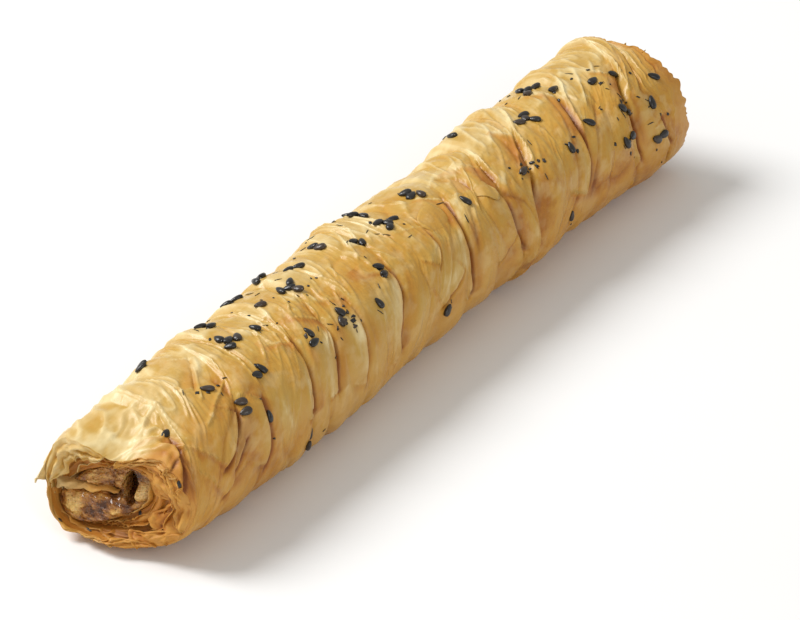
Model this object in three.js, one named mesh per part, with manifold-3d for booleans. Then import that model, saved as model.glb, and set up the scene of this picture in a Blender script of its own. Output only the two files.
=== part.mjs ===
// Borek: a long roll of thin pastry pleated round a meat filling, sprinkled with black sesame.
// Millimetres. +X runs along the roll from its open front end, +Z is up, the near side faces -Y.
// Angles called turn count from the top towards the near side.
import * as THREE from 'three';
import { mergeVertices } from 'three/addons/utils/BufferGeometryUtils.js';
import Module from 'manifold-3d';

const wasm = await Module();
wasm.setup();

// The roll as a whole; its middle is moved to the origin at the end
const FRONT = -109;
const BACK = 111.5;
const LENGTH = BACK - FRONT;
const ROLL_MIDDLE = new THREE.Vector3(-0.43, 0.52, 0);
const WIDTH_FRONT = 40;
const WIDTH_BACK = 38;
const TOP_FRONT = 31;
const TOP_BACK = 32.5;
const WAIST = 0.8;
const BOW = 0.7;
const BASE_SINK = 0.7;
const ROUNDNESS = 2.3;

// The two ends: how far the roll narrows before each rim, the rim's own section, and its slant
const FRONT_END = { reach: 24, power: 1.6, width: 36.6, low: 2.7, high: 27, side: 0 };
const BACK_END = { reach: 14, power: 2, width: 37.5, low: 0.4, high: 32, side: 0 };
const FRONT_SLANT = { reach: 3, turn: -2.75 };
const BACK_SLANT = { reach: 1.6, turn: 0.6 };
const HOOD = { turn: -0.2, spread: 1.2, reach: 4.6 };
const FLAKE = { turn: -1.5, spread: 0.24, reach: 5.2 };

// Slow swells and dips: place along the roll, degrees round from the top, spread and height
const LUMPS = [
  [-112, 4, 14, -3.7], [-107, -58, 8, 2], [-99, -47, 7, 0.9], [-110, -128, 9, 2.6], [-70, -47, 9, 1.4],
  [-3, -47, 9, 1.3], [26, -47, 17, -1], [60, -47, 6, 0.9], [73, -47, 5, -0.6], [110, -45, 7, 0.8],
  [-45, 130, 24, 0.8], [18, 130, 14, -1], [67, 130, 8, -1.1], [100, 130, 9, 0.6],
];

// Creases between the pleats: place along the roll, depth, lean over the top and lean down the side
const CREASES = [
  [FRONT, 0, 1, 1], [-100.5, 1.6, 0.95, 1.4], [-91.5, 0.8, 0.9, 1.4], [-80.5, 1.7, 1.1, 1.7],
  [-71, 1.2, 0.7, 0.75], [-62, 0.7, 0.6, 0.6], [-53.3, 2.4, 0.45, 0.55], [-41.3, 2.1, 0.55, 1],
  [-31, 1.2, 0.65, 0.55], [-21.5, 0.6, 0.8, 0.8], [-12.3, 2.1, 0.7, 1.2], [-4, 0.6, 0.5, 1.2],
  [5, 1.4, 0.4, 1.35], [16.5, 2.3, 0.85, 0.55], [26, 1.1, 0.9, 0.2], [34.6, 2.3, 0.95, -0.1],
  [47.5, 2.5, 1.4, 0.9], [58.5, 0.8, 1.4, 1.1], [70.5, 2.8, 1.45, 0.9], [81, 0.8, 1.45, 0.6],
  [90.5, 2.6, 1.5, 0.3], [100.5, 1.5, 1.1, -0.4], [BACK, 0, 1, 1],
];
const CREASE = { place: 0, depth: 1, over: 2, down: 3 };
const CREST = { share: 0.5, swing: 0.36, turn: -0.6, haste: 1.5 };
const PANEL_STATIONS = [0, CREST.share - CREST.swing, CREST.share, CREST.share + CREST.swing];
const SLOW_POWER = 1.8;
const PUFF = { height: 0.5, step: 2.3 };
const SIDE_DEPTH = { level: 0.8, swing: 0.2 };
const COME_AND_GO = { level: 0.8, swing: 0.35, step: 1.9 };
const LEAN = { reach: 9.9, turn: -Math.PI / 4, fade: 14 };
const WANDER = { reach: 1.2, drift: 0.09 };
const AROUND = 32;

// Sheets showing at an end: share of the wall and set-back from the rim, from the outside in
const SHEETS = [
  [0.1, 0.1], [0.2, 2.4], [0.34, 0.9], [0.46, 1], [0.56, 3], [0.7, 1.8], [0.84, 2.1], [1, 3],
];
const RAGGED = { slow: 0.33, slowStep: 1.7, quick: 0.22, quickStep: 2.9 };
const FRONT_SHEET = 1;
const BACK_SHEET = 4;
const INNER_SHEET = 2;

// Bore for the filling: at the front rim, through the roll and at the back rim
const BORE_FRONT = { y: 5.2, z: 11.6, width: 25.5, height: 11.6, roll: 0.45 };
const BORE_MIDDLE = { y: 0, z: 15.5, width: 26, height: 18, roll: 0.2 };
const BORE_BACK = { y: 0.5, z: 15, width: 24, height: 16, roll: -0.2 };
const BORE_REACH = 30;
const BORE_STATIONS = [0.05, 0.14, 0.86, 0.95];
const GAP = 0.35;

// Filling: lumpy faces set back inside the rims, a hollow and a tongue of pastry at the front
const FACE_SETBACK = { front: 1.8, back: 3.4 };
const FACE_SLANT = 2.4;
const FACE_RINGS = [0.35, 0.7];
const FACE_BUMPS = { height: 0.6, acrossRate: 1.1, acrossPhase: 2, upRate: 1.3 };
const HOLLOW = { y: -1.2, z: 14.9, width: 4.2, height: 8.4, depth: 9, sides: 12, rings: 8 };
const TONGUE = { root: 17.6, tip: 2.2, front: 0.2, depth: 14, arch: 0.4 };
const TONGUE_HEIGHT = { root: 11.2, tip: 12.7 };
const TONGUE_THICK = { root: 1.6, tip: 1.1 };
const TONGUE_STEPS = 6;

// Sesame seeds
const SEED = { length: 3.3, width: 2.2, thick: 1.3, lift: 0.2, taper: 0.3, sides: 6, rings: 3 };
const SEED_SPACING = { middle: 2.7, spread: 0.8, fan: 2.2 };
const SEED_DRAW = 7;
// Clusters of seeds: place along the roll, degrees round from the top, number of seeds
const CLUSTERS = [
  [-63.5, -2, 4], [-35.5, -8, 4], [2, 2, 4], [64, 1, 4], [77, -25, 4], [16.5, -7, 3], [2, -31, 3],
  [-30, -46, 3], [-59, -28, 2], [-80, -46, 2], [-66.5, 37, 2], [-79, 47, 2], [-48, 38, 2], [-37, 46, 2],
  [-27, -29, 2], [-15, -25, 2], [-8, 0, 2], [-14.5, 30, 2], [82, 70, 2], [88.5, 53, 2], [96, 86, 2],
  [-61, 108, 2], [-42, -45, 2], [-99, 27, 1], [-82, 22, 1], [-74, 67, 1], [-55.5, 5, 1], [-46, -12, 1],
  [-24, 52, 1], [23, 31, 1], [0.5, 93, 1], [50, -40, 1], [81, -8, 1], [89, 14, 1], [96, 19, 1],
  [46, 40, 1], [63, 48, 1], [75, 41, 1], [98, 58, 1], [104, 43, 1], [57, 97, 1],
];
const STRAYS = 8;
const STRAY_DEGREES = [-60, -105];
const STRAY_SHARE = [0.2, 0.8];
const SETTLE = { passes: 30, damping: 0.6 };
const FEEL = { along: 1, turn: 0.06 };

const mix = (a, b, share) => a + (b - a) * share;
const clamp = (value) => Math.min(1, Math.max(0, value));
const radians = THREE.MathUtils.degToRad;

// Repeatable draws between 0 and 1
function drawsFrom(seed) {
  let state = seed;
  return () => {
    state = (state + 0x6d2b79f5) | 0;
    let bits = Math.imul(state ^ (state >>> 15), 1 | state);
    bits = (bits + Math.imul(bits ^ (bits >>> 7), 61 | bits)) ^ bits;
    return ((bits ^ (bits >>> 14)) >>> 0) / 2 ** 32;
  };
}

// Angle between two directions round the roll, 0 to pi
function turnBetween(a, b) {
  return Math.abs(Math.atan2(Math.sin(a - b), Math.cos(a - b)));
}

// Distance from the middle of a rounded section to its edge
function edgeRadius(width, height, turn) {
  const across = Math.abs(Math.sin(turn)) / (width / 2);
  const up = Math.abs(Math.cos(turn)) / (height / 2);
  return (across ** ROUNDNESS + up ** ROUNDNESS) ** (-1 / ROUNDNESS);
}

// The roll's plain section at a place along it
function sectionAt(x) {
  const along = clamp((x - FRONT) / LENGTH);
  const midway = 4 * along * (1 - along);
  const front = clamp(1 - (x - FRONT) / FRONT_END.reach) ** FRONT_END.power;
  const back = clamp(1 - (BACK - x) / BACK_END.reach) ** BACK_END.power;
  const toEnds = (plain, name) => mix(mix(plain, FRONT_END[name], front), BACK_END[name], back);
  const low = toEnds(-BASE_SINK, 'low');
  const high = toEnds(mix(TOP_FRONT, TOP_BACK, along), 'high');
  const width = toEnds(mix(WIDTH_FRONT, WIDTH_BACK, along) - WAIST * midway, 'width');
  return { y: toEnds(BOW * midway, 'side'), z: (low + high) / 2, width, height: high - low };
}

// A sheet's uneven edge, by angle
function ragged(turn, sheet) {
  const slow = RAGGED.slow * Math.sin(3 * turn + RAGGED.slowStep * sheet);
  const quick = RAGGED.quick * Math.sin(7 * turn + RAGGED.quickStep * sheet);
  return slow + quick;
}

// Where the front rim lies: cut at a slant, with a hood over the top and one torn flake standing forward
function frontRim(turn) {
  const slant = FRONT_SLANT.reach * Math.cos(turn - FRONT_SLANT.turn);
  const overHood = clamp(1 - turnBetween(turn, HOOD.turn) / HOOD.spread);
  const hood = HOOD.reach * Math.sin((Math.PI / 2) * overHood) ** 2;
  const flake = FLAKE.reach * clamp(1 - turnBetween(turn, FLAKE.turn) / FLAKE.spread);
  return FRONT + ragged(turn, FRONT_SHEET) - slant - hood - flake;
}

function backRim(turn) {
  return BACK + ragged(turn, BACK_SHEET) - BACK_SLANT.reach * Math.cos(turn - BACK_SLANT.turn);
}

// Number of the pleat at u, and how far along that pleat it lies
function panelOf(u) {
  let index = 0;
  while (index < CREASES.length - 2 && u >= CREASES[index + 1][CREASE.place]) index += 1;
  const start = CREASES[index][CREASE.place];
  return { index, share: (u - start) / (CREASES[index + 1][CREASE.place] - start) };
}

// Pleats lean: the top lies further back than the near side, each crease by its own amount
function pleatShift(u, turn) {
  const inside = clamp(Math.min(u - FRONT, BACK - u) / LEAN.fade);
  const swing = Math.cos(turn - LEAN.turn);
  const way = swing > 0 ? CREASE.over : CREASE.down;
  const { index, share } = panelOf(u);
  const lean = LEAN.reach * swing * mix(CREASES[index][way], CREASES[index + 1][way], clamp(share));
  const wander = WANDER.reach * Math.sin(2 * turn + WANDER.drift * u);
  const rim = u < 0 ? frontRim(turn) - FRONT : backRim(turn) - BACK;
  return mix(rim, lean + wander, inside);
}

function creaseDepth(index, turn) {
  const sides = SIDE_DEPTH.level - SIDE_DEPTH.swing * Math.cos(2 * turn);
  const comeAndGo = COME_AND_GO.level + COME_AND_GO.swing * Math.sin(2 * turn + COME_AND_GO.step * index);
  return CREASES[index][CREASE.depth] * sides * comeAndGo;
}

// Share of a pleat at which it is highest: soon after its start over the top, late at the near side
function crestShare(turn) {
  const overTop = Math.max(-1, Math.min(1, CREST.haste * Math.cos(turn - CREST.turn)));
  return CREST.share - CREST.swing * overTop;
}

// Height of the pleated surface over the plain section: from crease to crest and down to the next crease
function pleatHeight(u, turn) {
  const { index, share } = panelOf(u);
  const crest = crestShare(turn);
  const puff = PUFF.height * Math.sin(Math.PI * clamp(share)) * Math.sin(2 * turn + PUFF.step * index);
  if (share < crest) {
    return puff - creaseDepth(index, turn) * (1 - share / crest) ** mix(1, SLOW_POWER, crest);
  }
  const past = (share - crest) / (1 - crest);
  return puff - creaseDepth(index + 1, turn) * past ** mix(SLOW_POWER, 1, crest);
}

function lumpHeight(x, turn) {
  let height = 0;
  for (const [place, degrees, spread, rise] of LUMPS) {
    const away = (WIDTH_FRONT / 2) * turnBetween(turn, radians(degrees));
    height += rise * Math.exp(-((x - place) ** 2 + away ** 2) / spread ** 2);
  }
  return height;
}

// Point of the pleated outside; u counts along the roll from pleat to pleat
function skinPoint(u, turn) {
  const x = u + pleatShift(u, turn);
  const section = sectionAt(x);
  const plain = edgeRadius(section.width, section.height, turn);
  const radius = plain + pleatHeight(u, turn) + lumpHeight(x, turn);
  const z = Math.max(0, section.z + radius * Math.cos(turn));
  return new THREE.Vector3(x, section.y - radius * Math.sin(turn), z);
}

// Point of the bore at a place along the roll, shrunk by a margin
function borePoint(x, turn, margin) {
  const end = x < 0 ? BORE_FRONT : BORE_BACK;
  const inside = clamp(Math.min(x - FRONT, BACK - x) / BORE_REACH);
  const bore = (name) => mix(end[name], BORE_MIDDLE[name], inside);
  const radius = edgeRadius(bore('width') - 2 * margin, bore('height') - 2 * margin, turn + bore('roll'));
  return new THREE.Vector3(x, bore('y') - radius * Math.sin(turn), bore('z') + radius * Math.cos(turn));
}

function ringOf(pointAt) {
  return Array.from({ length: AROUND }, (_, i) => pointAt((i * 2 * Math.PI) / AROUND));
}

// One ring of the stepped sheet edges between a rim and the bore
function sheetRing(front, sheet) {
  const [share, setback] = SHEETS[sheet];
  const inward = front ? 1 : -1;
  const end = front ? FRONT : BACK;
  const follow = Math.max(0, 1 - 2 * share);
  return ringOf((turn) => {
    const flat = end + inward * setback;
    const rim = skinPoint(end, turn);
    const point = rim.clone().lerp(borePoint(flat, turn, 0), share);
    const uneven = ragged(turn, sheet + INNER_SHEET) * (1 - share);
    point.x = mix(flat, rim.x + inward * setback, follow) + uneven;
    return point;
  });
}

function manifoldOf(positions, faces) {
  const mesh = new wasm.Mesh({
    numProp: 3,
    vertProperties: new Float32Array(positions),
    triVerts: new Uint32Array(faces),
  });
  return new wasm.Manifold(mesh);
}

function manifoldOfGeometry(geometry) {
  const plain = geometry.clone();
  plain.deleteAttribute('normal');
  plain.deleteAttribute('uv');
  const merged = mergeVertices(plain);
  return manifoldOf(merged.attributes.position.array, merged.index.array);
}

// Closed solid from rings of points: looped like a tyre, or with one point closing each end
function solidFromRings(rings, looped) {
  const corners = [];
  const starts = rings.map((ring) => {
    const start = corners.length;
    corners.push(...ring);
    return start;
  });
  const corner = (ring, i) => starts[ring] + (rings[ring].length === 1 ? 0 : i % AROUND);
  const faces = [];
  const strips = looped ? rings.length : rings.length - 1;
  for (let a = 0; a < strips; a += 1) {
    const b = (a + 1) % rings.length;
    for (let i = 0; i < AROUND; i += 1) {
      if (rings[a].length > 1) faces.push(corner(a, i), corner(a, i + 1), corner(b, i));
      if (rings[b].length > 1) faces.push(corner(a, i + 1), corner(b, i + 1), corner(b, i));
    }
  }
  return manifoldOf(corners.flatMap((point) => [point.x, point.y, point.z]), faces);
}

function largestBody(solid) {
  return solid.decompose().reduce((best, body) => (body.volume() > best.volume() ? body : best));
}

// Pastry wall: pleated outside, stepped sheets at both ends, bore inside
function pastryWall() {
  const rings = [];
  for (let k = 0; k < CREASES.length - 1; k += 1) {
    for (const station of PANEL_STATIONS) {
      const u = mix(CREASES[k][CREASE.place], CREASES[k + 1][CREASE.place], station);
      rings.push(ringOf((turn) => skinPoint(u, turn)));
    }
  }
  rings.push(ringOf((turn) => skinPoint(BACK, turn)));
  for (let sheet = 0; sheet < SHEETS.length; sheet += 1) rings.push(sheetRing(false, sheet));
  for (const station of [...BORE_STATIONS].reverse()) {
    rings.push(ringOf((turn) => borePoint(mix(FRONT, BACK, station), turn, 0)));
  }
  for (let sheet = SHEETS.length - 1; sheet >= 0; sheet -= 1) rings.push(sheetRing(true, sheet));
  return solidFromRings(rings, true);
}

// Tongue of pastry reaching in from the far wall between two lumps of filling, grown by a margin
function tongue(margin) {
  const shape = new THREE.BoxGeometry(1, 1, 1, 1, TONGUE_STEPS, 1);
  const corners = shape.attributes.position;
  const start = FRONT + TONGUE.front;
  for (let i = 0; i < corners.count; i += 1) {
    const inward = corners.getX(i) + 0.5;
    const rootward = corners.getY(i) + 0.5;
    const thick = mix(TONGUE_THICK.tip, TONGUE_THICK.root, rootward) + 2 * margin;
    const level = mix(TONGUE_HEIGHT.tip, TONGUE_HEIGHT.root, rootward);
    const middle = level + TONGUE.arch * Math.sin(Math.PI * rootward);
    const x = mix(start - margin, start + TONGUE.depth + margin, inward);
    const y = mix(TONGUE.tip - margin, TONGUE.root, rootward);
    corners.setXYZ(i, x, y, middle + thick * corners.getZ(i));
  }
  return manifoldOfGeometry(shape);
}

// One seed: a flattened drop
function seedSolid(centre, lengthways, outward) {
  const across = new THREE.Vector3().crossVectors(lengthways, outward);
  const shape = new THREE.SphereGeometry(0.5, SEED.sides, SEED.rings);
  const corners = shape.attributes.position;
  const point = new THREE.Vector3();
  for (let i = 0; i < corners.count; i += 1) {
    point.fromBufferAttribute(corners, i);
    const narrow = 1 - 2 * SEED.taper * point.y;
    const place = centre.clone()
      .addScaledVector(lengthways, SEED.length * point.y)
      .addScaledVector(across, SEED.width * narrow * point.x)
      .addScaledVector(outward, SEED.thick * narrow * point.z);
    corners.setXYZ(i, place.x, place.y, place.z);
  }
  return manifoldOfGeometry(shape);
}

// Pleat coordinate of a place along the roll
function pleatPlace(x, turn) {
  let u = x;
  for (let pass = 0; pass < SETTLE.passes; pass += 1) u = mix(u, x - pleatShift(u, turn), SETTLE.damping);
  return u;
}

// Seed lying on the pastry at a place along the roll, an angle and a heading
function seedAt(x, turn, heading) {
  const u = pleatPlace(x, turn);
  const along = skinPoint(u + FEEL.along, turn).sub(skinPoint(u - FEEL.along, turn)).normalize();
  const around = skinPoint(u, turn + FEEL.turn).sub(skinPoint(u, turn - FEEL.turn)).normalize();
  const outward = new THREE.Vector3().crossVectors(around, along).normalize();
  const lengthways = along.applyAxisAngle(outward, heading);
  return seedSolid(skinPoint(u, turn).addScaledVector(outward, SEED.lift), lengthways, outward);
}

// All seeds: the clusters, then strays on the far side
function sesame() {
  const draw = drawsFrom(SEED_DRAW);
  const seeds = [];
  const scatter = (x, degrees, count) => {
    const bearing = draw() * 2 * Math.PI;
    for (let i = 0; i < count; i += 1) {
      const away = i === 0 ? 0 : SEED_SPACING.middle + SEED_SPACING.spread * (draw() - 0.5);
      const direction = bearing + i * SEED_SPACING.fan;
      const turn = radians(degrees) + (away * Math.sin(direction)) / (WIDTH_FRONT / 2);
      seeds.push(seedAt(x + away * Math.cos(direction), turn, draw() * Math.PI));
    }
  };
  for (const [x, degrees, count] of CLUSTERS) scatter(x, degrees, count);
  for (let i = 0; i < STRAYS; i += 1) {
    const x = mix(FRONT, BACK, (i + mix(...STRAY_SHARE, draw())) / STRAYS);
    scatter(x, mix(...STRAY_DEGREES, draw()), 1);
  }
  return seeds;
}

function pastry() {
  let solid = pastryWall().add(tongue(0));
  for (const seed of sesame()) solid = solid.add(seed);
  return largestBody(solid);
}

// Edge of the filling's end face; at the front it slants with the rim
function faceEdge(front, turn) {
  if (!front) return borePoint(BACK - FACE_SETBACK.back, turn, GAP);
  const slant = FACE_SLANT * Math.cos(turn - FRONT_SLANT.turn);
  return borePoint(FRONT + FACE_SETBACK.front - slant, turn, GAP);
}

// End face of the filling, lumpy like minced meat
function facePoint(front, turn, share) {
  const edge = faceEdge(front, turn);
  const middle = faceEdge(front, turn + Math.PI).add(edge).multiplyScalar(0.5);
  const point = middle.lerp(edge, share);
  const across = Math.sin(FACE_BUMPS.acrossRate * point.y + FACE_BUMPS.acrossPhase);
  const up = Math.cos(FACE_BUMPS.upRate * point.z);
  point.x += FACE_BUMPS.height * (1 - share ** 2) * across * up;
  return point;
}

// Empty pocket in the filling's front face, towards its near end
function hollow() {
  const shape = new THREE.SphereGeometry(0.5, HOLLOW.sides, HOLLOW.rings);
  shape.scale(2 * HOLLOW.depth, HOLLOW.width, HOLLOW.height);
  shape.translate(FRONT + FACE_SETBACK.front, HOLLOW.y, HOLLOW.z);
  return manifoldOfGeometry(shape);
}

function filling() {
  const outward = [...FACE_RINGS, 1];
  const inward = [...outward].reverse();
  const rings = [[facePoint(true, 0, 0)]];
  for (const share of outward) rings.push(ringOf((turn) => facePoint(true, turn, share)));
  for (const station of BORE_STATIONS) {
    rings.push(ringOf((turn) => borePoint(mix(FRONT, BACK, station), turn, GAP)));
  }
  for (const share of inward) rings.push(ringOf((turn) => facePoint(false, turn, share)));
  rings.push([facePoint(false, 0, 0)]);
  return largestBody(solidFromRings(rings, false).subtract(tongue(GAP)).subtract(hollow()));
}

function meshOf(name, solid, colour, roughness) {
  const { vertProperties, triVerts } = solid.getMesh();
  const geometry = new THREE.BufferGeometry();
  geometry.setAttribute('position', new THREE.BufferAttribute(new Float32Array(vertProperties), 3));
  geometry.setIndex(new THREE.BufferAttribute(new Uint32Array(triVerts), 1));
  geometry.translate(-ROLL_MIDDLE.x, -ROLL_MIDDLE.y, -ROLL_MIDDLE.z);
  geometry.computeVertexNormals();
  const material = new THREE.MeshStandardMaterial({ color: colour, roughness, metalness: 0 });
  const mesh = new THREE.Mesh(geometry, material);
  mesh.name = name;
  return mesh;
}

const borek = new THREE.Group();
borek.name = 'borek';
borek.add(meshOf('pastry', pastry(), '#d9ac62', 0.45));
borek.add(meshOf('filling', filling(), '#6b432b', 0.6));

export default borek;
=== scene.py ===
"""Looks of the borek: pleated skin, layered ends, meat and black sesame, built round the CAD frame."""
import math
from collections import namedtuple
from types import SimpleNamespace as Sizes

import bpy
import numpy as np
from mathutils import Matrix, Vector
from mathutils.bvhtree import BVHTree


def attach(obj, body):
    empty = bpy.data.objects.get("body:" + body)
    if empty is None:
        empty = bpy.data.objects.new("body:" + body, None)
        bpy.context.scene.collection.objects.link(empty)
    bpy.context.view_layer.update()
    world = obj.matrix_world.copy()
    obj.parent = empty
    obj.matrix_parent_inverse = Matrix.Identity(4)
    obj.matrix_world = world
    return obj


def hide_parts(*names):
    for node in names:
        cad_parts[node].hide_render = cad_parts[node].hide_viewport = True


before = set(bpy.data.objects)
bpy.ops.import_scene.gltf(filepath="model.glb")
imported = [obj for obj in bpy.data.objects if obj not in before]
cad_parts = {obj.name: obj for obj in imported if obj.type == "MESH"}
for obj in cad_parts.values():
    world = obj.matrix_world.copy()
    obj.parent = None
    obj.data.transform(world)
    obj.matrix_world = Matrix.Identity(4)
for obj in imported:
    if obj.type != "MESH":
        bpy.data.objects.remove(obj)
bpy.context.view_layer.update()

MM = 0.001
TAU = 2 * math.pi

# The roll, in millimetres as in the part's source; ROLL_MIDDLE becomes the origin
FRONT, BACK = -109.0, 111.5
ROLL_MIDDLE = np.array([-0.43, 0.52, 0.0])
WIDTH_FRONT, WIDTH_BACK = 40.0, 38.0
TOP_FRONT, TOP_BACK = 31.0, 32.5
WAIST, BOW, BASE_SINK, ROUNDNESS = 0.8, 0.7, 0.7, 2.3
FRONT_END = Sizes(reach=24, power=1.6, width=36.6, low=2.7, high=27, side=0)
BACK_END = Sizes(reach=14, power=2, width=37.5, low=0.4, high=32, side=0)
FRONT_SLANT = Sizes(reach=3, turn=-2.75)
BACK_SLANT = Sizes(reach=1.6, turn=0.6)
HOOD = Sizes(turn=-0.2, spread=1.2, reach=4.6)
FLAKE = Sizes(turn=-1.5, spread=0.24, reach=1.2)
# Torn rims: depth, waves in a radian and draw of a slow and a quick wave
FRONT_TEARS = ((0.7, 5, 26), (0.2, 13, 27))
BACK_TEARS = ((1.0, 6, 36), (0.8, 15, 37))
# Lumps: place along the roll, degrees from the top, spread, rise
LUMPS = [
    (-112, 4, 14, -3.7), (-107, -58, 8, 2), (-99, -47, 7, 0.9), (-110, -128, 9, 2.6), (-70, -47, 9, 1.4),
    (-3, -47, 9, 1.3), (26, -47, 17, -1), (60, -47, 6, 0.9), (73, -47, 5, -0.6), (110, -45, 7, 0.8),
    (-45, 130, 24, 0.8), (18, 130, 14, -1), (67, 130, 8, -1.1), (100, 130, 9, 0.6),
]
# Scallops low on the near side and high on the far side: place along the roll, spread, rise
NEAR_SCALLOPS = [
    (-87, 4, 0.7), (-64, 5, 0.6), (-55, 3, 0.6), (-46.5, 2.5, 0.9), (-40, 2, -0.8), (-30.5, 2, 0.7),
    (-17.5, 5, -0.9), (-2, 2, -1), (25.7, 2.5, -1), (36, 3, -0.8), (58.8, 2.5, -1.5), (64, 2.2, 0.9),
    (69.5, 2, -1.1), (82, 4, -0.6), (104, 5, -0.4),
]
FAR_SCALLOPS = [
    (-85, 3, -1.2), (-73.5, 2, -0.8), (19, 3, 0.7), (34.5, 3.5, -0.9), (64, 3, 1.1), (79, 4, 0.8),
    (91, 3, 0.6), (103, 5, 1.1),
]
SCALLOPED = ((math.radians(130), NEAR_SCALLOPS), (math.radians(-47), FAR_SCALLOPS))
SCALLOP_SPREAD = 0.5
# Creases: place along the roll, depth, lean over the top and lean down the side
CREASES = np.array([
    (FRONT, 0, 1, 1), (-100.5, 1.6, 0.95, 1.4), (-91.5, 0.8, 0.9, 1.4), (-80.5, 1.7, 1.1, 1.7),
    (-71, 1.2, 0.7, 0.75), (-62, 0.7, 0.6, 0.6), (-53.3, 2.4, 0.45, 0.55), (-41.3, 2.1, 0.55, 1),
    (-31, 1.2, 0.65, 0.55), (-21.5, 0.6, 0.8, 0.8), (-12.3, 2.1, 0.7, 1.2), (-4, 0.6, 0.5, 1.2),
    (5, 1.4, 0.4, 1.35), (16.5, 2.3, 0.85, 0.55), (26, 1.1, 0.9, 0.2), (34.6, 2.3, 0.95, -0.1),
    (47.5, 2.5, 1.4, 0.9), (58.5, 0.8, 1.4, 1.1), (70.5, 2.8, 1.45, 0.9), (81, 0.8, 1.45, 0.6),
    (90.5, 2.6, 1.5, 0.3), (100.5, 1.5, 1.1, -0.4), (BACK, 0, 1, 1),
])
CREST = Sizes(share=0.5, swing=0.36, turn=-0.6, haste=1.5)
SLOW_POWER = 1.8
PUFF = Sizes(height=0.5, step=2.3)
SIDE_DEPTH = Sizes(level=0.8, swing=0.2)
# Creases of the near side are shallower, but not low down on its back half
NEAR_DEPTH = Sizes(front=0.58, back=1.0, start=(-0.65, -0.2), stop=(2.1, 1.6))
NEAR_LOW = Sizes(along=(20, 45), turn=(0.6, 1.2))
COME_AND_GO = Sizes(level=0.8, swing=0.35, step=1.9)
LEAN = Sizes(reach=9.9, turn=-math.pi / 4, fade=14)
WANDER = Sizes(reach=1.2, drift=0.09)
# Sheets in an end's wall: share of the way from rim to bore, setback
SHEETS = np.array([
    (0, 0), (0.035, 0.05), (0.1, 2), (0.3, 1.1), (0.46, 1), (0.56, 2.6), (0.7, 1.8), (0.84, 2.1), (1, 3),
])
RAGGED = Sizes(slow=0.33, slow_step=1.7, quick=0.22, quick_step=2.9)
FRONT_SHEET, BACK_SHEET = 1, 4
BORE_FRONT = Sizes(y=5.2, z=11.6, width=25.5, height=11.6, roll=0.45)
BORE_MIDDLE = Sizes(y=0, z=15.5, width=26, height=18, roll=0.2)
BORE_BACK = Sizes(y=0.5, z=15, width=24, height=16, roll=-0.2)
BORE_REACH, GAP = 30, 0.35
FACE_SETBACK = {True: 1.8, False: 3.4}
FACE_SLANT = 2.4
HOLLOW = Sizes(y=-1.2, z=14.9, width=4.2, height=8.4, depth=9)
# Grains of the mince, the large ones first; a pale lump and two fatty patches of the front face that also
# carry painted glints
MINCE = Sizes(count=900, large=120, y=(-13, 20), z=(2, 26), rise=(0.3, 0.6))
LARGE_GRAIN, SMALL_GRAIN = (0.6, 1.8), (0.3, 0.7)
PALE_LUMP = Sizes(y=-5.6, z=15.4, width=1.4, height=2.2)
FAT_AND_GLINTS = (Sizes(y=13, z=8, width=3, height=3.5), Sizes(y=8, z=15.5, width=5, height=2.4))
TONGUE = Sizes(root=17.6, tip=2.2, front=0.2, depth=14, arch=0.4)
TONGUE_HEIGHT = Sizes(root=11.2, tip=12.7)
TONGUE_THICK = Sizes(root=2.3, tip=0.6)
SEED = Sizes(length=3.3, width=2.2, thick=1.3, lift=0.3, taper=0.3)
SEED_SIZES = ((0.92, 0.76, 0.9), (1.1, 0.98, 1.05))
SEED_SPACING = Sizes(middle=2.7, spread=0.8, fan=2.2)
SEED_DRAW = 7
# Seeds: place along the roll, degrees from the top, how many
CLUSTERS = [
    (-63.5, -2, 4), (-35.5, -8, 4), (2, 2, 4), (64, 1, 4), (77, -25, 4), (16.5, -7, 3), (2, -31, 3),
    (-30, -46, 3), (-59, -28, 2), (-80, -46, 2), (-66.5, 37, 2), (-79, 47, 2), (-48, 38, 2), (-37, 46, 2),
    (-27, -29, 2), (-15, -25, 2), (-8, 0, 2), (-14.5, 30, 2), (82, 70, 2), (88.5, 53, 2), (96, 86, 2),
    (-61, 108, 2), (-42, -45, 2), (-99, 27, 1), (-82, 22, 1), (-74, 67, 1), (-55.5, 5, 1), (-46, -12, 1),
    (-24, 52, 1), (23, 31, 1), (0.5, 93, 1), (50, -40, 1), (81, -8, 1), (89, 14, 1), (96, 19, 1),
    (46, 40, 1), (63, 48, 1), (75, 41, 1), (98, 58, 1), (104, 43, 1), (57, 97, 1),
]
# Broken seeds: place along the roll, degrees, how many; chips at the front end: place and size
BROKEN = [
    (-37, 46, 5), (-33, 47, 7), (-14, 31, 5), (-48, 40, 3), (-82, 22, 3), (-66, 37, 2), (49, 44, 6),
    (46, 41, 3), (90, 45, 5),
]
CHIPS = [
    ((-110.5, -17.4, 23.3), (1.6, 1.3, 0.4)), ((-109.5, -5.6, 11.0), (2.2, 1.2, 0.5)),
    ((-112, 6.9, 4.1), (2.0, 0.5, 0.3)), ((-112, 14.6, 4.1), (1.2, 0.8, 0.3)),
]
SCATTERED_BITS, BIT_LIFT = 130, 0.08
STRAYS, STRAY_DEGREES, STRAY_SHARE = 8, (-60, -105), (0.2, 0.8)

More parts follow.
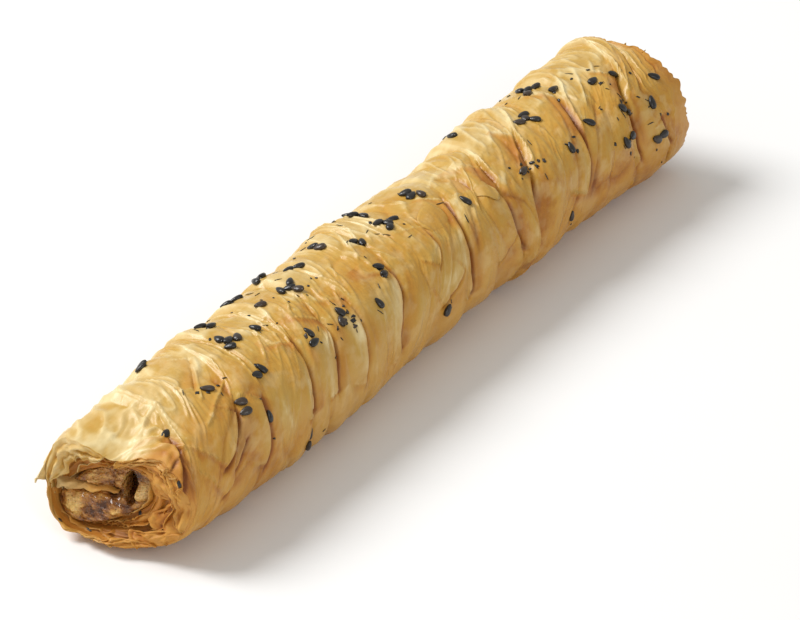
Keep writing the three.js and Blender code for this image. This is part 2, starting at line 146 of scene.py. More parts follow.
# Folds of the outer sheet on the side that shows: height, width, then places along the roll with degrees
VALLEYS = [
    (0.7, 1.0, (-97.5, 22), (-101, 42), (-104, 57), (-107, 70), (-110, 82)),
    (0.5, 0.6, (-100.5, 46), (-103, 50), (-106, 54), (-109, 58)),
    (0.6, 0.7, (-85, 18), (-80, 3), (-76.5, -8), (-73, -20)),
    (0.9, 0.8, (-80.5, 48), (-83, 58), (-87, 67), (-91, 74), (-96, 80)),
    (0.6, 0.8, (-82, 68), (-86, 77), (-89, 85), (-93, 92), (-98, 98)),
    (0.7, 1.3, (-72, 50), (-74, 62), (-75, 80), (-76, 92), (-79, 106)),
    (1.0, 0.9, (-52.6, 28), (-53.2, 42), (-54, 55), (-55.6, 66), (-56.4, 80), (-57.5, 98)),
    (1.0, 0.9, (-39.6, 26), (-41, 42), (-42.3, 53), (-45, 66), (-47.2, 80), (-47.6, 92)),
    (0.5, 1.1, (-29.5, 25), (-31, 45), (-33, 68), (-35, 88), (-38, 104)),
    (0.9, 0.9, (-11.8, 30), (-12.3, 45), (-13.8, 57), (-17, 68), (-19.6, 80), (-20, 90), (-19, 102)),
    (0.6, 0.6, (6.5, 20), (5.8, 35), (5, 46), (3, 55), (0, 63)),
    (1.1, 0.8, (21.5, 10), (19.5, 22), (17.5, 36), (16, 48), (14.8, 60), (13.4, 75), (12.6, 92), (12, 106)),
    (0.5, 0.7, (10.5, 70), (7.5, 78), (3, 85), (-2, 92)),
    (0.6, 0.8, (26, -16), (29, -3), (30.2, 8), (29.5, 20), (28, 30)),
    (0.9, 1.3, (40, 4), (37.5, 24), (35, 43), (33.8, 60), (33.5, 74), (35.5, 90), (38.5, 102)),
    (0.4, 0.5, (22, 90), (26, 88), (30, 82), (33.2, 73)),
    (1.0, 1.1, (58, 2), (54, 15), (50.5, 31), (47, 48), (44.2, 63), (42.2, 78), (42.4, 92), (44.5, 106)),
    (0.5, 0.8, (65, -40), (62, -28), (59, -12), (57, 0)),
    (1.2, 1.0, (80, -8), (76, 12), (72, 33), (69.5, 52), (67.5, 70), (65, 85), (61, 98)),
    (1.2, 1.0, (98, 18), (95, 30), (92, 40), (89.8, 55), (89.2, 75), (89.4, 88), (92, 104)),
    (0.6, 1.0, (99.5, 70), (100.5, 80), (101.5, 90), (104, 102)),
]
RIDGES = [
    (0.6, 0.7, (-90.5, -52), (-92.6, -25), (-94, 0), (-96.5, 19), (-99, 38), (-101, 50)),
    (0.5, 0.7, (-85, -40), (-86.5, -10), (-88.5, 10), (-91, 22), (-93.5, 33)),
    (0.6, 0.7, (-92.5, 46), (-88.5, 41), (-84.5, 35), (-80, 30), (-76, 24)),
    (0.5, 0.8, (-87, 28), (-84, 20), (-81, 10), (-78, 0), (-74.5, -17)),
    (0.4, 0.6, (-71, -25), (-72.5, 0), (-75, 18), (-78, 34), (-80, 42)),
    (0.5, 0.7, (-65.5, -30), (-66.3, -5), (-68, 15), (-70, 33), (-70.8, 47)),
    (0.5, 0.8, (-55.5, 2), (-58, 13), (-61, 25), (-63.5, 34)),
    (0.6, 0.6, (-49.6, -45), (-50, -15), (-50.8, 8), (-52.2, 24), (-54.2, 36), (-54.4, 50)),
    (0.6, 0.6, (-38.5, -15), (-42, 4), (-44.7, 13), (-47, 24), (-48.8, 37), (-49.5, 48)),
    (0.5, 0.6, (-36.5, -20), (-37.8, 5), (-39, 22), (-40.6, 36), (-42.5, 45), (-46, 54)),
    (0.4, 0.6, (-26.5, -20), (-27, 0), (-27.6, 20), (-29, 36)),
    (0.4, 0.8, (-11, -8), (-13.5, 5), (-16.5, 16)),
    (0.4, 0.7, (-9, 18), (-11, 32), (-11.6, 42), (-13, 52)),
    (0.4, 0.6, (5.5, 24), (4.8, 36), (3.6, 48)),
    (0.4, 0.9, (10, -35), (11.5, -15), (12.5, 0)),
    (0.6, 0.9, (47, -40), (44.5, -20), (42.3, -4), (40, 11), (38.2, 24), (36.6, 40)),
    (0.7, 0.8, (68, -38), (63.5, -17), (60, -5), (56.5, 9), (52.8, 28), (49.5, 42)),
    (0.8, 0.7, (88, -28), (84, -9), (80, 5), (76, 21), (72.8, 37), (70.5, 50)),
    (0.7, 0.7, (109, -45), (105.5, -22), (103, -5), (100, 13), (96, 31), (93.5, 43)),
    (0.4, 1.0, (97, -35), (94.5, -15), (92.5, 4)),
]
SKIN_RADIUS, WALL_RADIUS = 17.5, 15
VALLEY_WIDTH, RIDGE_WIDTH = 0.58, 0.55
VALLEY_HEIGHT, RIDGE_HEIGHT = 1.25, 1.15
# Bands beside a valley, high up and low on the near side: how far before it along the roll, and how wide
# glow band: browner dough, partly painted light through the fold; dark band: painted shade; pale band:
# painted highlight
GLOW_BAND = Sizes(high=1.3, low=0.1, high_spread=2.3, low_spread=1.4)
DARK_BAND = Sizes(high=2.2, low=-1.8, spread=2.1)
PALE_BAND = Sizes(high=-2.4, low=2.2, spread=1.5)
# Scattered folds: bend with the warp, step along the roll, cells round it, draw, line width and sharpness;
# then the patches where they show: step, cells round, draw, and the noise at which they begin and are full
Layer = namedtuple("Layer", "bend step cells draw width power patch patch_cells patch_draw low high")
VALLEY_LAYER = Layer(1, 11, 4, 12, 0.14, 1.5, 30, 4, 13, -0.3, 0.25)
ROPE_LAYER = Layer(-1, 7, 4, 14, 0.13, 1.3, 22, 5, 15, -0.3, 0.2)
CRINKLE_LAYER = Layer(1.7, 3.4, 8, 16, 0.3, 1.4, 13, 7, 19, -0.35, 0.2)
HAIR_LAYER = Layer(-1.3, 1.8, 15, 21, 0.4, 1, 9, 9, 22, -0.3, 0.3)
NOISE_ROWS, NOISE_GAIN = 512, 1.5

# The photograph's direction of view
AZIMUTH, ELEVATION = math.radians(57.2), math.radians(30)
level = math.cos(ELEVATION)
away = Vector((math.sin(AZIMUTH) * level, math.cos(AZIMUTH) * level, -math.sin(ELEVATION)))


def spans(places, counts):
    """Even steps from place to place, as many in each span as counts says."""
    rows = zip(places, places[1:], counts)
    return np.concatenate([np.linspace(start, stop, count, endpoint=False) for start, stop, count in rows])


# Fineness of the meshes: close set where the skin shows, wide on the underside
UNDERSIDE = math.radians(148)
TURNS = spans((0, UNDERSIDE, TAU - UNDERSIDE, TAU), (120, 8, 80))
AROUND = len(TURNS)
PANEL_SHARES = spans((0, 0.2, 0.8, 1), (12, 20, 12))
SKIN_PARTS = (0, 7, 15, len(CREASES) - 1)
END_RINGS, FACE_RINGS = 40, 80
ENDS = {True: (1, FRONT), False: (-1, BACK)}


def mix(a, b, share):
    return a + (b - a) * share


def grid(rows, columns):
    return np.meshgrid(rows, columns, indexing="ij")


def clamp(value):
    return np.clip(value, 0, 1)


def smooth(low, high, value):
    share = clamp((value - low) / (high - low))
    return share * share * (3 - 2 * share)


def bell(gap, spread):
    """1 where there is no gap, falling to 0 on both sides."""
    return np.exp(-(gap / spread) ** 2)


def signed(turn):
    """Turn between minus and plus half a round."""
    return np.arctan2(np.sin(turn), np.cos(turn))


def turn_between(a, b):
    return np.abs(signed(a - b))


def edge_radius(width, height, turn):
    across = np.abs(np.sin(turn)) / (width / 2)
    up = np.abs(np.cos(turn)) / (height / 2)
    return (across ** ROUNDNESS + up ** ROUNDNESS) ** (-1 / ROUNDNESS)


def section_at(x):
    """Middle y, middle z, width and height of the plain roll at x."""
    along = clamp((x - FRONT) / (BACK - FRONT))
    midway = 4 * along * (1 - along)
    front = clamp(1 - (x - FRONT) / FRONT_END.reach) ** FRONT_END.power
    back = clamp(1 - (BACK - x) / BACK_END.reach) ** BACK_END.power

    def to_ends(plain, name):
        return mix(mix(plain, getattr(FRONT_END, name), front), getattr(BACK_END, name), back)

    low = to_ends(-BASE_SINK, "low")
    high = to_ends(mix(TOP_FRONT, TOP_BACK, along), "high")
    width = to_ends(mix(WIDTH_FRONT, WIDTH_BACK, along) - WAIST * midway, "width")
    return to_ends(BOW * midway, "side"), (low + high) / 2, width, high - low


def ragged(turn, sheet):
    slow = RAGGED.slow * np.sin(3 * turn + RAGGED.slow_step * sheet)
    return slow + RAGGED.quick * np.sin(7 * turn + RAGGED.quick_step * sheet)


def tears(turn, rows):
    return sum(depth * wave(signed(turn) * rate, draw) for depth, rate, draw in rows)


def front_rim(turn):
    slant = FRONT_SLANT.reach * np.cos(turn - FRONT_SLANT.turn)
    over_hood = clamp(1 - turn_between(turn, HOOD.turn) / HOOD.spread)
    hood = HOOD.reach * np.sin(math.pi / 2 * over_hood) ** 2
    flake = FLAKE.reach * clamp(1 - turn_between(turn, FLAKE.turn) / FLAKE.spread)
    return FRONT + ragged(turn, FRONT_SHEET) - slant - hood - flake - tears(turn, FRONT_TEARS)


def back_rim(turn):
    slant = BACK_SLANT.reach * np.cos(turn - BACK_SLANT.turn)
    return BACK + ragged(turn, BACK_SHEET) - slant + tears(turn, BACK_TEARS)


def pleat_shift(u, turn):
    inside = clamp(np.minimum(u - FRONT, BACK - u) / LEAN.fade)
    swing = np.cos(turn - LEAN.turn)
    over, down = (np.interp(u, CREASES[:, 0], CREASES[:, k]) for k in (2, 3))
    lean = LEAN.reach * swing * np.where(swing > 0, over, down)
    wander = WANDER.reach * np.sin(2 * turn + WANDER.drift * u)
    rim = np.where(u < 0, front_rim(turn) - FRONT, back_rim(turn) - BACK)
    return mix(rim, lean + wander, inside)


def crease_depth(index, turn):
    sides = SIDE_DEPTH.level - SIDE_DEPTH.swing * np.cos(2 * turn)
    come_and_go = COME_AND_GO.level + COME_AND_GO.swing * np.sin(2 * turn + COME_AND_GO.step * index)
    near = smooth(*NEAR_DEPTH.start, signed(turn)) * smooth(*NEAR_DEPTH.stop, signed(turn))
    low = smooth(*NEAR_LOW.along, CREASES[index, 0]) * smooth(*NEAR_LOW.turn, signed(turn))
    depth = mix(NEAR_DEPTH.front, NEAR_DEPTH.back, low)
    return CREASES[index, 1] * sides * come_and_go * mix(1, depth, near)


def panel_of(u):
    """Index of the pleat at u, and how far along that pleat it lies."""
    index = np.clip(np.searchsorted(CREASES[:, 0], u, side="right") - 1, 0, len(CREASES) - 2)
    start, end = CREASES[index, 0], CREASES[index + 1, 0]
    return index, (u - start) / (end - start)


def pleat_height(u, turn):
    """From crease to crest and down to the next crease."""
    index, share = panel_of(u)
    crest = CREST.share - CREST.swing * np.clip(CREST.haste * np.cos(turn - CREST.turn), -1, 1)
    puff = PUFF.height * np.sin(math.pi * clamp(share)) * np.sin(2 * turn + PUFF.step * index)
    rise = crease_depth(index, turn) * clamp(1 - share / crest) ** mix(1, SLOW_POWER, crest)
    drop = crease_depth(index + 1, turn) * clamp((share - crest) / (1 - crest)) ** mix(SLOW_POWER, 1, crest)
    return puff - rise - drop


def lump_height(x, turn):
    height = 0
    for place, degrees, spread, rise in LUMPS:
        apart = WIDTH_FRONT / 2 * turn_between(turn, math.radians(degrees))
        height = height + rise * bell(np.hypot(x - place, apart), spread)
    for edge_turn, scallops in SCALLOPED:
        edge = bell(turn_between(turn, edge_turn), SCALLOP_SPREAD)
        for place, spread, rise in scallops:
            height = height + rise * edge * bell(x - place, spread)
    return height


def bore_point(x, turn, margin):
    inside = clamp(np.minimum(x - FRONT, BACK - x) / BORE_REACH)

    def bore(name):
        front, middle, back = (getattr(part, name) for part in (BORE_FRONT, BORE_MIDDLE, BORE_BACK))
        return mix(np.where(x < 0, front, back), middle, inside)

    radius = edge_radius(bore("width") - 2 * margin, bore("height") - 2 * margin, turn + bore("roll"))
    return np.stack([x + 0 * turn, bore("y") - radius * np.sin(turn), bore("z") + radius * np.cos(turn)], -1)


def grain(along, around, cells, seed):
    """Smooth noise from about -1 to 1: along counts cells, around is a turn that closes after whole cells."""
    angles = np.random.default_rng(seed).uniform(0, TAU, (NOISE_ROWS, cells))
    b = (around / TAU * cells) % cells
    a0, b0 = np.floor(along).astype(int), np.floor(b).astype(int)
    fa, fb = along - a0, b - b0

    def corner(i, j):
        angle = angles[(a0 + i) % NOISE_ROWS, (b0 + j) % cells]
        return np.cos(angle) * (fa - i) + np.sin(angle) * (fb - j)

    ea, eb = (f * f * f * (f * (f * 6 - 15) + 10) for f in (fa, fb))
    return NOISE_GAIN * mix(mix(corner(0, 0), corner(1, 0), ea), mix(corner(0, 1), corner(1, 1), ea), eb)


def wave(along, seed):
    """Smooth noise along one line."""
    return grain(along, 0 * along + 1.0, 3, seed)


def line(noise, width):
    """1 along a noise's zero lines, falling to 0 on both sides."""
    return clamp(1 - np.abs(noise) / width)


def curve(places, steps=12):
    """Smooth line through places (along the roll, degrees), in millimetres on the unrolled skin."""
    knots = np.array([(x, math.radians(degrees) * SKIN_RADIUS) for x, degrees in places])
    knots = np.vstack([2 * knots[0] - knots[1], knots, 2 * knots[-1] - knots[-2]])
    t = np.linspace(0, 1, steps, endpoint=False)[:, None]
    parts = []
    for a, b, c, d in zip(knots, knots[1:], knots[2:], knots[3:]):
        parts.append(b + 0.5 * t * (c - a + t * (2 * a - 5 * b + 4 * c - d + t * (3 * (b - c) + d - a))))
    return np.vstack(parts + [knots[-2:-1]])


def fold_line(x, turn, width, places):
    """1 along a fold, falling off beside it and towards its ends; and the gap to it, signed along x."""
    path = curve(places)
    flat = np.stack([x, signed(turn) * SKIN_RADIUS], -1)
    reach = 2 + 3 * width
    out_of_reach = 9.0
    near = np.all((flat > path.min(0) - reach) & (flat < path.max(0) + reach), axis=-1)
    spots = flat[near]
    gaps = np.hypot(spots[:, None, 0] - path[None, :, 0], spots[:, None, 1] - path[None, :, 1])
    nearest = gaps.argmin(1)
    gap = gaps[np.arange(len(spots)), nearest]
    along = nearest / (len(path) - 1)
    ends = smooth(-0.02, 0.14, along) * smooth(1.02, 0.86, along)
    shape, side = np.zeros(x.shape), np.full(x.shape, out_of_reach)
    shape[near] = ends * (0.6 * bell(gap, width) + 0.4 * np.exp(-gap / (0.5 * width)))
    side[near] = np.copysign(gap, spots[:, 0] - path[nearest, 0]) + out_of_reach * (1 - ends)
    return shape, side


def placed_folds(x, turn):
    """Folds that show one by one: valley depth, ridge and lip height, amber glow of browner dough with
    painted light, dark bands of painted shade, pale bands of painted highlight.
    """
    deep = high = glow = dark = pale = 0
    lipped = smooth(0.5, 0.9, signed(turn))

    def band(side, where):
        return bell(side + mix(where.high, where.low, lipped), where.spread)

    for depth, width, *places in VALLEYS:
        shape, side = fold_line(x, turn, VALLEY_WIDTH * width, places)
        strength = min(depth, 1)
        before = mix(GLOW_BAND.high, GLOW_BAND.low, lipped) * width
        spread = mix(GLOW_BAND.high_spread, GLOW_BAND.low_spread, lipped) * width
        deep = np.maximum(deep, depth * shape)
        # glow: browner dough with painted light through the fold; dark: painted shade; pale: painted
        # highlight
        glow = np.maximum(glow, strength * bell(side + before, spread))
        dark = np.maximum(dark, strength * band(side, DARK_BAND))
        pale = np.maximum(pale, strength * band(side, PALE_BAND))
        high = np.maximum(high, 0.25 * depth * (1 - lipped) * bell(side - 1.5, 0.7))
        high = np.maximum(high, 0.5 * depth * lipped * bell(side + 1.1 * width, 0.7 * width))
    for rise, width, *places in RIDGES:
        high = np.maximum(high, RIDGE_HEIGHT * rise * fold_line(x, turn, RIDGE_WIDTH * width, places)[0])
    dark = dark * (0.75 + 0.5 * grain(x / 5, turn, 14, 29))
    return deep, high, np.maximum(glow, mix(0.3, 0.85, lipped) * dark), dark, pale


def scattered(layer, u, turn, warp):
    """Lines of one layer of scattered folds, where its patches show them."""
    lines = line(grain((u + layer.bend * warp) / layer.step, turn, layer.cells, layer.draw), layer.width)
    patches = grain(u / layer.patch, turn, layer.patch_cells, layer.patch_draw)
    return lines ** layer.power * smooth(layer.low, layer.high, patches)


def loose_folds(u, turn):
    """Small folds scattered all over: depth of sharp valleys, height of thin ropes and crinkles, swells."""
    warp = 2.2 * grain(u / 16, turn, 5, 11)
    top = smooth(1.4, 0.5, turn_between(turn, -0.2))
    shows = smooth(1.7, 1.2, turn_between(turn, 0.5))
    hood = smooth(-95, -102, u) * smooth(1.5, 1.0, turn_between(turn, -0.25))
    valleys = scattered(VALLEY_LAYER, u, turn, warp) * mix(0.8, 0.5, shows)
    ropes = scattered(ROPE_LAYER, u, turn, warp) * mix(0.15, 0.5, top)
    crinkles = scattered(CRINKLE_LAYER, u, turn, warp) * mix(0.14, 0.36, top)
    hairs = scattered(HAIR_LAYER, u, turn, warp) * mix(0.07, 0.14, top)
    blisters = smooth(0.05, 0.6, grain(u / 2.6, turn, 36, 23)) * smooth(-0.2, 0.3, grain(u / 14, turn, 7, 24))
    swells = 0.3 * grain(u / 9, turn, 9, 18) + 0.12 * grain(u / 3.7, turn, 18, 20)
    on_hood = 0.5 * grain(u / 4.2, turn, 22, 25) + 0.25 * grain(u / 1.9, turn, 44, 28)
    on_hood = on_hood + 0.6 * line(grain((u + warp) / 6, turn, 16, 30), 0.22)
    return valleys, ropes + crinkles + hairs, swells + 0.2 * blisters * mix(0.4, 1, top) + hood * on_hood


def skin_tints(u, turn, x, placed, loose):
    """What the material needs to know, each from 0 to 1: creases darkened as browner dough with painted
    shade, crests paled as painted highlight and sheen with partly paler dough, amber, and the sides painted
    darker and browner as shade.
    """
    deep, high, glow, dark_band, pale_band = placed
    valleys, ropes, swells = loose
    around = signed(turn)
    index, share = panel_of(u)
    panel = CREASES[index + 1, 0] - CREASES[index, 0]
    before = crease_depth(index + 1, turn) * bell((1 - share) * panel, 1.4)
    # rising: faces climbing out of a crease towards the key lamp; below they are painted paler as highlight,
    # with less crease and no amber
    rising = crease_depth(index, turn) * bell(share * panel - 1.3, 1.0)
    rising = clamp(0.8 * rising) * (1 - smooth(0.7, 1.2, around))
    low = smooth(0.2, 0.9, turn_between(turn, -0.3))
    # lit: the top towards the key lamp, painted paler below as sheen
    lit = smooth(0.6, 0.2, turn_between(turn, -0.4))
    hooded = smooth(1.05, 0.75, turn_between(turn, -0.35))
    hood = hooded * smooth(-86, -97, u)
    # crease: before, deep, valleys and the dark band darken the folds, browner dough with painted shade,
    # strongest low on the near side
    crease = mix(0.15, 0.3, low) * before + mix(0.5, 1.7, low) * deep + 0.7 * valleys - 0.8 * swells
    crease = clamp(crease + mix(0.2, 0.55, smooth(0.35, 0.9, around)) * dark_band)
    # crest: ridges, ropes, swells and pale bands painted paler as highlight, partly paler dough; rising faces
    # and the lit top as painted sheen; the hood paler
    crest = 1.4 * high + 1.5 * ropes + 0.8 * swells + 0.6 * pale_band
    crest = clamp(crest + 0.35 * rising + 0.3 * hood + 0.18 * lit)
    # amber: browner ends, underside and the near side's front half; beside the folds the amber glow, browner
    # dough partly painted light through the fold
    amber = np.maximum.reduce([
        0.6 * smooth(10, 0, BACK - u) + 0.85 * smooth(13, 3, u - FRONT) * (1 - hooded),
        0.3 * low * smooth(45, 20, u - FRONT) * (1 - hooded),
        0.4 * smooth(1.2, 1.8, np.abs(around)), mix(0.55, 0.75, low) * glow,
    ])
    # side: the sides painted darker and browner than the top, as painted shade
    side = np.where(around > 0, smooth(-0.25, 0.75, turn), smooth(-1.1, -2.0, around))
    paler = smooth(-85, -60, x) * smooth(45, 5, x) * smooth(0.5, 0.9, around)
    return {
        "crease": crease * (1 - 0.7 * rising) * (1 - 0.7 * hood), "crest": crest,
        "amber": clamp(amber - rising), "side": side * (1 - 0.8 * paler),
    }


def skin_grid():
    """Fine grid of the outside, with its tints."""
    steps = CREASES[:-1, :1] + np.diff(CREASES[:, :1], axis=0) * PANEL_SHARES
    u, turn = grid(np.append(steps.ravel(), BACK), TURNS)
    x = u + pleat_shift(u, turn)
    middle_y, middle_z, width, height = section_at(x)
    placed, loose = placed_folds(x, turn), loose_folds(u, turn)
    deep, high, *_ = placed
    valleys, ropes, swells = loose
    inside = clamp(np.minimum(u - FRONT, BACK - u) / 5)
    fine = high - VALLEY_HEIGHT * deep + (ropes - valleys) * inside + swells * mix(0.3, 1, inside)
    radius = edge_radius(width, height, turn) + pleat_height(u, turn) + lump_height(x, turn) + fine
    y, z = middle_y - radius * np.sin(turn), np.maximum(0, middle_z + radius * np.cos(turn))
    return {"u": u, "points": np.stack([x, y, z], -1), **skin_tints(u, turn, x, placed, loose)}


def grid_faces(rows, columns, closed=True):
    """Quads of a grid of points numbered row by row; closed joins the last column to the first."""
    r, c = grid(np.arange(rows - 1), np.arange(columns if closed else columns - 1))
    here, there, c2 = r * columns, (r + 1) * columns, (c + 1) % columns
    return np.stack([here + c, here + c2, there + c2, there + c], -1).reshape(-1, 4)


def fans(rings, sides):
    """Triangles that close a tube's first and last ring to the two points that follow its rings."""
    c = np.arange(sides)
    c2 = (c + 1) % sides
    tip, last = rings * sides, (rings - 1) * sides
    start = np.stack([np.full(sides, tip), c2, c], -1)
    stop = np.stack([np.full(sides, tip + 1), last + c, last + c2], -1)
    return np.concatenate([start, stop])


def put(name, data):
    """New object in the scene."""
    thing = bpy.data.objects.new(name, data)
    bpy.context.scene.collection.objects.link(thing)
    return thing


class Pile:
    """Collects meshes, in millimetres before the shift to the origin, into one smooth piece."""

    def __init__(self):
        self.points, self.faces, self.values, self.count = [], [], {}, 0

    def add(self, points, *faces, **values):
        points = np.asarray(points, float).reshape(-1, 3)
        self.points.append(points)
        for kind in faces:
            self.faces += (kind + self.count).tolist()
        for key, value in values.items():
            value = np.broadcast_to(np.ravel(np.asarray(value, float)), len(points))
            self.values.setdefault(key, []).append(value)
        self.count += len(points)

    def build(self, name):
        mesh = bpy.data.meshes.new(name)
        mesh.from_pydata(((np.concatenate(self.points) - ROLL_MIDDLE) * MM).tolist(), [], self.faces)
        mesh.polygons.foreach_set("use_smooth", np.ones(len(mesh.polygons), bool))
        for key, values in self.values.items():
            layer = mesh.attributes.new(key, "FLOAT", "POINT")
            layer.data.foreach_set("value", np.concatenate(values).astype(np.float32))
        mesh.update()
        return put(name, mesh)


# Loose sheets at the front end and at the back end, as drape and film take them. Drapes: degrees round
# from the top, share of the wall, lean into the mouth, draw, amber. Films: degrees round from the top, share
# of the wall, forward reach, curl, draw and, where not as usual, crumple and amber
FRONT_DRAPES = [
    ((-104, -16), 0.62, 1.5, 101, 0.15), ((2, 62), 0.5, 1.0, 102, 0.7), ((34, 84), 0.85, 1.5, 106, 0.95),
    ((70, 124), 0.7, 1.1, 107, 1.0), ((52, 104), 0.42, 0.3, 108, 0.85), ((108, 152), 0.6, 0.7, 103, 1.0),
    ((136, 200), 0.45, 0.7, 104, 0.95), ((178, 264), 0.4, 0.5, 105, 0.6),
]
BACK_DRAPES = [
    ((-70, 20), 0.85, 1.4, 111, 0.5), ((0, 84), 0.7, 1.0, 112, 0.6), ((66, 160), 0.8, 1.6, 113, 0.8),
    ((140, 226), 0.65, 0.9, 114, 0.75), ((206, 302), 0.9, 1.8, 115, 0.6),
]
FRONT_FILMS = [
    ((-104, -34), (0.1, 0.06), 1.2, -1.8, 49, 0.7, 0.2),
    ((-82, 58), (0.2, 0.16), 0.6, -0.9, 51, 0.5), ((-70, 50), (0.42, 0.36), 0.4, -0.9, 52),
    ((-66, 30), (0.66, 0.6), 0.2, -0.4, 64),
    ((20, 150), (0.12, 0.3), 1.2, 0.5, 53), ((30, 125), (0.26, 0.46), 1.6, 0.6, 54),
    ((50, 190), (0.5, 0.52), 1.3, 0.3, 55), ((62, 215), (0.66, 0.7), 1.4, -0.2, 56),
    ((80, 200), (0.84, 0.8), 1.0, -0.3, 57), ((120, 265), (0.16, 0.14), 1.0, 0.4, 58),
    ((140, 275), (0.4, 0.36), 1.4, 0.3, 59), ((165, 285), (0.62, 0.6), 1.2, 0.1, 60),
    ((225, 300), (0.3, 0.3), 1.0, 0.5, 61, 1.0, 0.2), ((235, 310), (0.6, 0.62), 1.2, 0.3, 62, 1.0, 0.15),
    ((250, 325), (0.85, 0.8), 1.2, 0.0, 63, 1.0, 0.1), ((118, 232), (0.97, 0.95), 1.6, -1.4, 65, 1.1, 0.5),
    ((60, 128), (0.98, 0.96), 1.5, -1.2, 66, 1.1, 0.6), ((140, 215), (0.9, 0.92), 2.0, -0.6, 67, 1.2, 0.7),
]
BACK_FILMS = [
    ((-70, 80), (0.14, 0.22), 1.2, 0.4, 71), ((-40, 120), (0.36, 0.3), 1.5, -0.3, 72),
    ((30, 170), (0.55, 0.6), 1.3, 0.3, 73), ((60, 210), (0.16, 0.2), 1.2, 0.5, 74),
    ((110, 250), (0.4, 0.36), 1.5, 0.2, 75), ((150, 300), (0.66, 0.62), 1.4, 0.3, 76),
    ((190, 320), (0.2, 0.14), 1.3, 0.4, 77), ((220, 350), (0.45, 0.5), 1.5, -0.2, 78),
    ((260, 400), (0.7, 0.74), 1.2, 0.2, 79), ((-30, 100), (0.84, 0.8), 1.0, 0.0, 80),
    ((-30, 52), (0.98, 0.94), 1.8, -2.2, 81, 1.2, 0.5), ((64, 150), (0.95, 0.98), 1.5, -1.5, 82, 1.1, 0.6),
    ((128, 236), (0.98, 0.95), 2.2, -1.9, 83, 1.3, 0.7), ((224, 318), (0.94, 0.98), 1.6, -2.4, 84, 1.2, 0.5),
]
FILM = Sizes(step=1.1, rows=10, thick=0.22, depth=6.0)
DRAPE = Sizes(columns=90, rows=26, thick=0.2)

# Outside of the pastry, with the tints that its material reads by name
TINTS = ("crease", "crest", "amber", "side", "u")
skin = skin_grid()
ROWS = len(skin["u"])


def tinted(*values):
    return dict(zip(TINTS, values))


def column_at(turn):
    return np.interp(turn % TAU, np.append(TURNS, TAU), np.arange(AROUND + 1))


def pleat_place(x, turn):
    u = x + 0.0 * turn
    for _ in range(30):
        u = mix(u, x - pleat_shift(u, turn), 0.6)
    return u


def on_skin(u, turn):
    """Points of the fine skin at pleat places and turns."""
    row = np.clip(np.interp(u, skin["u"][:, 0], np.arange(ROWS)), 0, ROWS - 1.001)
    column = column_at(turn)
    r, c = np.floor(row).astype(int), np.floor(column).astype(int)
    fr, fc = (row - r)[..., None], (column - c)[..., None]
    p = skin["points"]
    c, c2 = c % AROUND, (c + 1) % AROUND
    return mix(mix(p[r, c], p[r + 1, c], fr), mix(p[r, c2], p[r + 1, c2], fr), fc)


def pastry_skin(part):
    """One length of the outside, from crease to crease."""
    pile = Pile()
    first, last = (SKIN_PARTS[k] * len(PANEL_SHARES) for k in (part, part + 1))
    rows = slice(first, last + 1)
    tints = tinted(*(skin[name][rows] for name in TINTS))
    pile.add(skin["points"][rows], grid_faces(last + 1 - first, AROUND)[:, ::-1], **tints)
    return pile.build("pastry_skin_%d" % part)


# Ends of the pastry
def outward_at(turn):
    return np.stack([0 * turn, -np.sin(turn), np.cos(turn)], -1)


def rim_at(front, turn):
    rim = skin["points"][0 if front else -1]
    column = column_at(turn)
    low = np.floor(column).astype(int)
    return mix(rim[low % AROUND], rim[(low + 1) % AROUND], (column - low)[..., None])


def wall_at(front, turn, share):
    """Points of an end's wall, from share 0 at the rim to share 1 at the bore."""
    inward, end = ENDS[front]
    rim = rim_at(front, turn)
    setback = inward * np.interp(share, SHEETS[:, 0], SHEETS[:, 1])
    points = mix(rim, bore_point(end + setback, turn, 0), share[..., None])
    points[..., 0] = mix(end, rim[..., 0], np.maximum(0, 1 - 2 * share)) + setback
    return points


def end_rings(front):
    """Rings across an end's wall from the rim to the bore, thin sheet after thin sheet."""
    inward, _ = ENDS[front]
    share, turn = grid(np.linspace(0, 1, END_RINGS + 1), TURNS)
    place = share + 0.12 * grain(0 * turn + 0.5, turn, 5, 33 + front)
    leaf = line(grain(place * 5, turn, 5, 31 + front), 0.5)
    uneven = 0.8 * leaf - 0.35 + 0.3 * grain(place * 8, turn, 12, 41 + front)
    rings = wall_at(front, turn, share)
    rings[..., 0] += uneven * np.sin(math.pi * share) ** 0.5
    edges = clamp(0.4 - 0.4 * inward * uneven)
    edges[0] = 0.5
    return rings, edges


def tongue(pile):
    """Sheet folded in from the far wall between the two lumps of meat."""
    steps, around = 44, 20
    share = np.linspace(0, 1, steps)
    thick = mix(TONGUE_THICK.tip, TONGUE_THICK.root, share) * (1.1 + 0.5 * wave(share * 6, 38))
    middle = mix(TONGUE_HEIGHT.tip, TONGUE_HEIGHT.root, share)
    middle = middle + 0.5 * wave(share * 4, 39) + 0.4 * wave(share * 10, 44)
    middle = middle + TONGUE.arch * np.sin(math.pi * share)
    front = FRONT + TONGUE.front + 0.4 * np.sin(11 * share + 1) + 2.2 * (1 - share) ** 2
    s, a = grid(np.arange(steps), np.arange(around) * TAU / around)
    along = share[s]
    x = front[s] + TONGUE.depth * ((1 - np.cos(a)) / 2) ** 2 + 0.6 * wave(9 * along + 2 * np.sin(a), 40)
    y = mix(TONGUE.tip, TONGUE.root, along)
    z = middle[s] + thick[s] / 2 * np.sign(np.sin(a)) * np.abs(np.sin(a)) ** 0.5
    tints = tinted(0, 0.8 * along, 0.9 - 0.7 * along, 0, x)
    pile.add(np.stack([x, y, z], -1), grid_faces(steps, around), **tints)


